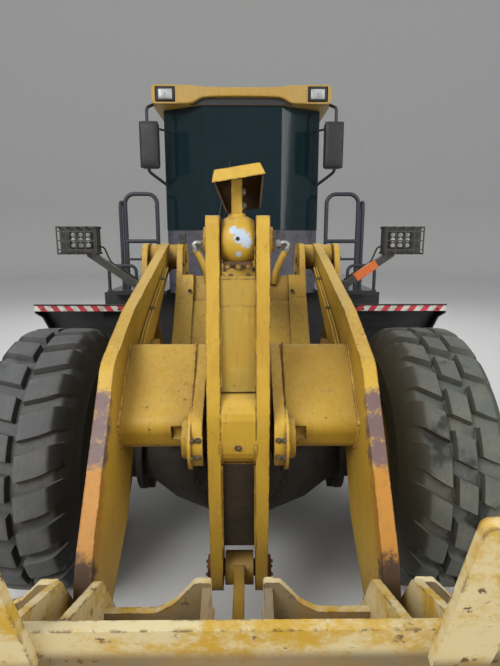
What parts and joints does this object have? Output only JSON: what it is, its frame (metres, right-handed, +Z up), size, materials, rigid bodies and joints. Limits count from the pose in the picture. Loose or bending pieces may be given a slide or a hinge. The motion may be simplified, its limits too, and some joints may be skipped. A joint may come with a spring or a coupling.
{
  "type": "wheel loader",
  "caption": "Articulated wheel loader with a bucket on twin lift arms, Z-bar tilt linkage, enclosed cab and four driven tyres.",
  "frame": {"origin": "on the ground under the middle of the machine's bounding box", "axes": "+Z up, the bucket faces -Y, +X is the machine's left to right as seen from the front"},
  "size_m": [3, 8.1, 3.4852],
  "materials": {
    "machine_yellow": "matt, weathered and rusty",
    "bucket_paint": "scraped, rusty",
    "bare_steel": "rusty",
    "rod_steel": "polished",
    "axle_brown": "oily and dusty",
    "engine_grey": "oily",
    "tyre_rubber": "dusty",
    "rim_paint": "dusty olive yellow",
    "fender_black": "satin",
    "cab_paint": "satin, dusty",
    "glass": "clear",
    "rail_navy": "satin",
    "lamp_body": "satin",
    "exhaust_steel": "matt",
    "seat_cloth": "woven",
    "console_plastic": "grained"
  },
  "bodies": {
    "rear_frame": {"rear_chassis": "machine_yellow", "rear_axle": "axle_brown", "engine_block": "engine_grey", "hood": "machine_yellow", "rear_grille": "fender_black", "counterweight": "machine_yellow", "rear_fenders": "fender_black", "platforms": "fender_black", "handrails": "rail_navy", "cab_shell": "cab_paint", "cab_roof": "machine_yellow", "cab_glass": "glass", "seat": "seat_cloth", "steering_console": "console_plastic", "mirrors": "rail_navy", "lamps": "lamp_body", "exhaust_and_intake": "exhaust_steel"},
    "front_frame": {"front_frame": "machine_yellow", "front_axle": "axle_brown", "front_fenders": "fender_black", "work_lamps": "machine_yellow"},
    "lift_arms": {"lift_arms": "machine_yellow"},
    "bucket_pins": {"bucket_pins": "bare_steel"},
    "bucket": {"bucket": "bucket_paint", "cutting_edge": "bare_steel"},
    "rocker_pin": {"rocker_pin": "bare_steel"},
    "rocker": {"rocker": "machine_yellow"},
    "link_pin": {"link_pin": "bare_steel"},
    "tilt_link": {"tilt_link": "machine_yellow"},
    "tilt_barrel": {"tilt_barrel": "machine_yellow"},
    "tilt_rod": {"tilt_rod": "rod_steel"},
    "lift_barrel_left": {"lift_barrel_left": "machine_yellow"},
    "lift_rod_left": {"lift_rod_left": "rod_steel"},
    "steer_barrel_left": {"steer_barrel_left": "machine_yellow"},
    "steer_rod_left": {"steer_rod_left": "rod_steel"},
    "door_left": {"door_left": "cab_paint", "door_glass_left": "glass"},
    "wheel_front_left": {"tyre_front_left": "tyre_rubber", "rim_front_left": "rim_paint"},
    "wheel_rear_left": {"tyre_rear_left": "tyre_rubber", "rim_rear_left": "rim_paint"},
    "lift_barrel_right": {"lift_barrel_right": "machine_yellow"},
    "lift_rod_right": {"lift_rod_right": "rod_steel"},
    "steer_barrel_right": {"steer_barrel_right": "machine_yellow"},
    "steer_rod_right": {"steer_rod_right": "rod_steel"},
    "door_right": {"door_right": "cab_paint", "door_glass_right": "glass"},
    "wheel_front_right": {"tyre_front_right": "tyre_rubber", "rim_front_right": "rim_paint"},
    "wheel_rear_right": {"tyre_rear_right": "tyre_rubber", "rim_rear_right": "rim_paint"}
  },
  "joints": [
    {"name": "steering", "type": "hinge", "parent": "rear_frame", "child": "front_frame", "pos_m": [0, 0.5, 0.9], "axis": [0, 0, 1], "range_deg": [-35, 35]},
    {"name": "lift", "type": "hinge", "parent": "front_frame", "child": "lift_arms", "pos_m": [0, -0.43, 2.02], "axis": [-1, 0, 0], "range_deg": [0, 83]},
    {"name": "bucket_pins_turn", "type": "hinge", "parent": "lift_arms", "child": "bucket_pins", "pos_m": [0, -2.62, 0.39], "axis": [-1, 0, 0], "range_deg": [-84, 1]},
    {"name": "bucket_tilt", "type": "hinge", "parent": "bucket_pins", "child": "bucket", "pos_m": [0, -2.62, 0.39], "axis": [-1, 0, 0], "range_deg": [-45, 40]},
    {"name": "rocker_pin_turn", "type": "hinge", "parent": "lift_arms", "child": "rocker_pin", "pos_m": [0, -2.1, 1.3], "axis": [-1, 0, 0], "range_deg": [-1, 24]},
    {"name": "rocker_turn", "type": "hinge", "parent": "rocker_pin", "child": "rocker", "pos_m": [0, -2.1, 1.3], "axis": [-1, 0, 0], "range_deg": [-10, 11.5]},
    {"name": "link_pin_turn", "type": "hinge", "parent": "rocker", "child": "link_pin", "pos_m": [0, -2.05, 0.62], "axis": [-1, 0, 0], "range_deg": [-45.1, 1]},
    {"name": "link_turn", "type": "hinge", "parent": "link_pin", "child": "tilt_link", "pos_m": [0, -2.05, 0.62], "axis": [-1, 0, 0], "range_deg": [-13, 11.5]},
    {"name": "tilt_barrel_turn", "type": "hinge", "parent": "front_frame", "child": "tilt_barrel", "pos_m": [0, -0.65, 1.85], "axis": [-1, 0, 0], "range_deg": [-1, 85]},
    {"name": "tilt_rod_slide", "type": "slide", "parent": "tilt_barrel", "child": "tilt_rod", "axis": [0, -0.9769, 0.2139], "range_m": [-0.166, 0.147]},
    {"name": "lift_barrel_left_turn", "type": "hinge", "parent": "front_frame", "child": "lift_barrel_left", "pos_m": [-0.565, -0.1, 1.05], "axis": [-1, 0, 0], "range_deg": [-1, 46]},
    {"name": "lift_rod_left_slide", "type": "slide", "parent": "lift_barrel_left", "child": "lift_rod_left", "axis": [0, -0.979, 0.204], "range_m": [-0.002, 0.945]},
    {"name": "steer_barrel_left_turn", "type": "hinge", "parent": "rear_frame", "child": "steer_barrel_left", "pos_m": [-0.42, 1.05, 0.925], "axis": [0, 0, 1], "range_deg": [-14, 14]},
    {"name": "steer_rod_left_slide", "type": "slide", "parent": "steer_barrel_left", "child": "steer_rod_left", "axis": [0.1127, -0.9936, 0], "range_m": [-0.216, 0.216]},
    {"name": "door_left_swing", "type": "hinge", "parent": "rear_frame", "child": "door_left", "pos_m": [-0.752, 1.642, 2.45], "axis": [0, 0, -1], "range_deg": [0, 95]},
    {"name": "wheel_front_left_roll", "type": "hinge", "parent": "front_frame", "child": "wheel_front_left", "pos_m": [-1.125, -1.15, 0.8], "axis": [1, 0, 0], "continuous": true},
    {"name": "wheel_rear_left_roll", "type": "hinge", "parent": "rear_frame", "child": "wheel_rear_left", "pos_m": [-1.125, 2.15, 0.8], "axis": [1, 0, 0], "continuous": true},
    {"name": "lift_barrel_right_turn", "type": "hinge", "parent": "front_frame", "child": "lift_barrel_right", "pos_m": [0.565, -0.1, 1.05], "axis": [-1, 0, 0], "range_deg": [-1, 46]},
    {"name": "lift_rod_right_slide", "type": "slide", "parent": "lift_barrel_right", "child": "lift_rod_right", "axis": [0, -0.979, 0.204], "range_m": [-0.002, 0.945]},
    {"name": "steer_barrel_right_turn", "type": "hinge", "parent": "rear_frame", "child": "steer_barrel_right", "pos_m": [0.42, 1.05, 0.925], "axis": [0, 0, 1], "range_deg": [-14, 14]},
    {"name": "steer_rod_right_slide", "type": "slide", "parent": "steer_barrel_right", "child": "steer_rod_right", "axis": [-0.1127, -0.9936, 0], "range_m": [-0.216, 0.216]},
    {"name": "door_right_swing", "type": "hinge", "parent": "rear_frame", "child": "door_right", "pos_m": [0.752, 1.642, 2.45], "axis": [0, 0, 1], "range_deg": [0, 95]},
    {"name": "wheel_front_right_roll", "type": "hinge", "parent": "front_frame", "child": "wheel_front_right", "pos_m": [1.125, -1.15, 0.8], "axis": [1, 0, 0], "continuous": true},
    {"name": "wheel_rear_right_roll", "type": "hinge", "parent": "rear_frame", "child": "wheel_rear_right", "pos_m": [1.125, 2.15, 0.8], "axis": [1, 0, 0], "continuous": true}
  ],
  "couplings": [
    {"joint": "bucket_pins_turn", "follows": "lift", "ratio": -1},
    {"joint": "rocker_pin_turn", "follows": "lift", "ratio": 0.286},
    {"joint": "rocker_turn", "follows": "bucket_tilt", "ratio": -0.246},
    {"joint": "link_pin_turn", "follows": "lift", "ratio": -0.541},
    {"joint": "link_turn", "follows": "bucket_tilt", "ratio": 0.277},
    {"joint": "tilt_barrel_turn", "follows": "lift", "ratio": 1.0181},
    {"joint": "tilt_rod_slide", "follows": "bucket_tilt", "m_per_rad": 0.2082},
    {"joint": "lift_barrel_left_turn", "follows": "lift", "ratio": 0.5433},
    {"joint": "lift_rod_left_slide", "follows": "lift", "m_per_rad": 0.651},
    {"joint": "steer_barrel_left_turn", "follows": "steering", "ratio": 0.3932},
    {"joint": "steer_rod_left_slide", "follows": "steering", "m_per_rad": 0.3507},
    {"joint": "lift_barrel_right_turn", "follows": "lift", "ratio": 0.5433},
    {"joint": "lift_rod_right_slide", "follows": "lift", "m_per_rad": 0.651},
    {"joint": "steer_barrel_right_turn", "follows": "steering", "ratio": 0.3932},
    {"joint": "steer_rod_right_slide", "follows": "steering", "m_per_rad": -0.3507}
  ]
}
